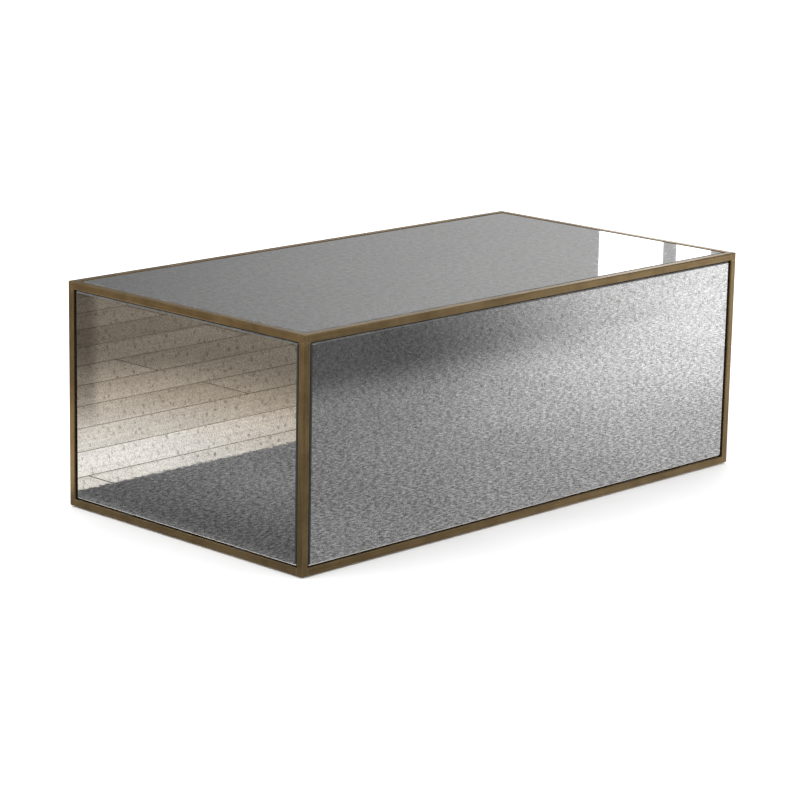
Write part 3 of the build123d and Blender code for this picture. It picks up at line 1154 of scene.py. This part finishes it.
@dataclass(frozen=True)
class FloorTones(Finish):
    """The painted reflection that polished surfaces find in the floor: a grey weave, pale boards beyond it,
    and painted light and shade over them.
    """

    front: float = -0.32  # the front mirror's plane
    left: float = CAD_BOX[0].x
    weave_edge: float = 0.40
    weave_scale: Point = (80.0, 165.0, 1.0)
    board_width: float = 0.155
    board_length: float = 1.15
    board_shift: Point = (0.35, -0.009, 0.0)
    glow_centre: Point = (-0.85, 0.52, 0.0)
    bright_warm: Colour = (1.0, 0.965, 0.915)
    deep_warm: Colour = (1.0, 0.86, 0.70)
    cool: Colour = (1.0, 0.995, 1.01)

    def front_tone(self, x: Link, y: Link) -> Link:
        """Return the painted light before the front mirror, rising away from the shaded left end.

        Args:
            x: The place along the table.
            y: The place across it.

        Returns:
            The tone.
        """
        reach = self.front - y
        shift = x - reach * 0.96
        low = 0.335 - reach.rise(0.85, 1.15) * 0.195
        high = 0.64 + reach.rise(0.0, 1.0) * 0.64
        return low + (high - low) * (shift - reach.rise(0.5, 1.2) * 0.26).rise(-0.6, 0.88)

    def boards(self, recipe: Recipe, place: Link) -> Link:
        """Lay pale boards.

        Args:
            recipe: The recipe.
            place: The place on the floor.

        Returns:
            The boards' tones, around 1, with dark joints.
        """
        sockets = {
            "Vector": recipe.vectors("ADD", {0: place, 1: self.board_shift}),
            "Color1": (1.14, 1.14, 1.14, 1.0),
            "Color2": (0.84, 0.82, 0.79, 1.0),
            "Mortar": (0.25, 0.21, 0.17, 1.0),
            "Scale": 1.0,
            "Mortar Size": 2.6 * MM,
            "Mortar Smooth": 0.2,
            "Brick Width": self.board_length,
            "Row Height": self.board_width,
        }
        laid = recipe.add("TexBrick", {"offset": 0.37}, sockets, "Color")
        streaks = recipe.noise(recipe.stretched(place, (3.0, 55.0, 1.0)), 1.0, 4.0, 0.6).rise()
        return recipe.scaled(laid, 0.92 + streaks * 0.16)

    def write(self, recipe: Recipe) -> None:
        """Write the tones of the front, the left end and the rest."""
        place = recipe.place()
        x, y, _ = recipe.parts(place)
        cloud = 0.93 + recipe.noise(place, 2.2, 3.0).rise(0.25, 0.75) * 0.14
        strands = recipe.noise(recipe.stretched(place, self.weave_scale), 1.0, 4.0, 0.75)
        weave = 0.40 + strands.rise(0.36, 0.64) * 1.20
        away = self.left - x
        grey_tone = 0.17 + away.rise(0.05, 0.45) * 0.13 + away.rise(0.10, 0.0) * 0.16
        grey = recipe.scaled(self.cool, grey_tone * weave)
        spread = recipe.vectors("DISTANCE", {0: place, 1: self.glow_centre}, "Value")
        # painted shade toward the far end, dimming the glow
        far_end_shade = (x * 1.206 + y).rise(-0.51, -0.46) * away.rise(0.35, 0.6)
        glow = (1.17 - spread.rise(0.05, 1.1) * 0.88) * (1.0 - far_end_shade * 0.42)
        warmth = recipe.mix(spread.rise(0.15, 0.75), self.bright_warm, self.deep_warm)
        warm = recipe.vectors("MULTIPLY", {0: recipe.scaled(warmth, glow), 1: self.boards(recipe, place)})
        ragged = y + (recipe.noise(place, 70.0, 3.0) - 0.5) * 0.035
        beyond = ragged.rise(self.weave_edge - 0.006, self.weave_edge + 0.006)
        left_end = recipe.mix(beyond, grey, warm)
        rest = recipe.scaled(self.cool, 0.34 + abs(x + y).rise(0.3, 2.4) * 0.45)
        sides = recipe.mix(away.rise(-0.1, 0.0), rest, left_end)
        front = recipe.scaled(self.cool, self.front_tone(x, y) * weave)
        tone = recipe.mix((self.front - y).rise(-0.06, 0.0), sides, front)
        # painted shade in the corner before the front and left mirrors
        dark_corner = (self.front - y).rise(0.0, 0.06) * away.rise(0.0, 0.06)
        recipe.glow(recipe.scaled(tone, cloud * (1.0 - dark_corner * 0.45)))


@dataclass(frozen=True)
class WallTones(Finish):
    """The painted reflection that polished surfaces find round the studio: grey walls, glowing windows and
    a ceiling.
    """

    sector: float = 90.0
    dim: float = 0.13
    bright: float = 0.52
    window: float = 1.7
    panes: tuple[Pair, ...] = ((52.78, 55.04), (55.56, 56.75))
    ceiling: float = 0.30
    ceiling_height: float = 3.55

    def write(self, recipe: Recipe) -> None:
        """Write the walls' gradient and the windows, once in each quarter, and the ceiling."""
        place = recipe.place()
        x, y, z = recipe.parts(place)
        part = (x.math("ARCTAN2", y) * math.degrees(1.0)).math("FLOORED_MODULO", self.sector)
        wall = self.dim + (self.bright - self.dim) * part.rise(24.0, 60.0) * part.rise(88.0, 66.0)
        glass = sum(part.rise(low - 0.04, low) * part.rise(high + 0.04, high) for low, high in self.panes)
        cloud = 0.95 + recipe.noise(place, 1.5, 3.0) * 0.1
        above = z.rise(self.ceiling_height - 0.2, self.ceiling_height)
        tone = (wall * cloud + glass * self.window) * (1.0 - above) + above * self.ceiling
        recipe.glow(recipe.scaled((1.0, 1.0, 1.0), tone))


@dataclass
class Studio:
    """A plain pale floor, soft light, and the walls and floor tones that only reflections find."""

    floor_radius: float = 40.0
    tone_height: float = 0.8 * MM
    tone_size: float = 8.0
    wall_radius: float = 7.0
    wall_height: float = 3.6
    daylight: float = 1.60

    def _stage(self, shaper: Shaper, finish: Finish, only_gloss: bool = False) -> None:
        """Dress a piece of the studio, and hide it from all but reflections where asked.

        Args:
            shaper: The piece's shaper.
            finish: Its finish.
            only_gloss: True for what only polished surfaces find.
        """
        piece = shaper.dress(finish).piece
        if only_gloss:
            for ray in ("camera", "diffuse", "transmission", "volume_scatter", "shadow"):
                setattr(piece, f"visible_{ray}", False)

    def floor(self) -> None:
        """Lay the floor and the tones that lie on it."""
        Shaper.clear()
        bpy.ops.mesh.primitive_circle_add(vertices=96, radius=self.floor_radius, fill_type="NGON")
        self._stage(Shaper("studio_floor"), PaleFloor("pale_floor"))
        Shaper.clear()
        bpy.ops.mesh.primitive_plane_add(size=self.tone_size, location=(0.0, 0.0, self.tone_height))
        self._stage(Shaper("floor_tones"), FloorTones("floor_tones"), only_gloss=True)

    def walls(self) -> None:
        """Stand the walls round the table, with the ceiling on them."""
        top = self.wall_height
        outline = [(self.wall_radius, 0.0), (self.wall_radius, top), (0.0, top)]
        walls = Shaper.line("wall_tones", outline).turned(128)
        self._stage(walls, WallTones("wall_tones"), only_gloss=True)

    def sky(self) -> None:
        """Fill the studio with even white light."""
        world = bpy.data.worlds.new("daylight")
        world.use_nodes = True
        background = world.node_tree.nodes["Background"]
        background.inputs["Color"].default_value = (1.0, 1.0, 1.0, 1.0)
        background.inputs["Strength"].default_value = self.daylight
        bpy.context.scene.world = world
        bpy.context.scene.view_settings.view_transform = "Standard"

    def softbox(self, name: str, place: Point, size: float, power: float) -> None:
        """Hang a square softbox that faces the middle of the table.

        Args:
            name: The light's name.
            place: Where it hangs.
            size: Its side.
            power: Its power in watts.
        """
        Shaper.clear()
        bpy.ops.object.light_add(type="AREA", location=place)
        light = bpy.context.active_object
        light.name = name
        light.data.size = size
        light.data.energy = power
        light.rotation_euler = (-Vector(place)).to_track_quat("-Z", "Y").to_euler()

    def build(self) -> None:
        """Set up the whole studio."""
        self.floor()
        self.walls()
        self.sky()
        self.softbox("window_softbox", (4.6, 3.4, 4.4), 3.0, 60.0)
        self.softbox("left_softbox", (-4.2, 0.6, 4.2), 2.4, 35.0)


@dataclass
class CameraStand:
    """The camera: which way it looks, how far it stands, and its lens."""

    azimuth: float = 45.848
    dip: float = 13.518
    roll: float = 1.067
    distance: float = 5.756
    lens: float = 130.16
    aim: Point = (-0.0241, 0.0086, -0.0470)

    def build(self) -> None:
        """Add the camera and make it the scene's."""
        turn, dip, roll = (math.radians(angle) for angle in (self.azimuth, self.dip, self.roll))
        level = Euler((math.pi / 2 - dip, 0.0, -turn)).to_matrix()
        facing = level @ Matrix.Rotation(roll, 3, "Z")
        place = sum(CAD_BOX, Vector()) / 2 + Vector(self.aim) + facing.col[2] * self.distance
        Shaper.clear()
        bpy.ops.object.camera_add(location=place)
        camera = bpy.context.active_object
        camera.name = "camera"
        camera.rotation_euler = facing.to_euler()
        camera.data.lens = self.lens
        camera.data.clip_end = 100.0
        bpy.context.scene.camera = camera


def main() -> None:
    """Build the table's looks and its studio."""
    logging.basicConfig(level=logging.INFO, format="%(name)s: %(message)s")
    Studio().build()
    CameraStand().build()
    dress_kept_nodes()
    for side in SIDES:
        MirrorPane(f"{side}_mirror").build()
    for side in (*SIDES, "bottom"):
        PanScrews().build(f"{side}_panel_screws")
    WeldNuts().build()
    for corner in CORNERS:
        foot = LevellingFoot(corner)
        foot.build_stud()
        foot.build_pad()


if __name__ == "__main__":
    main()
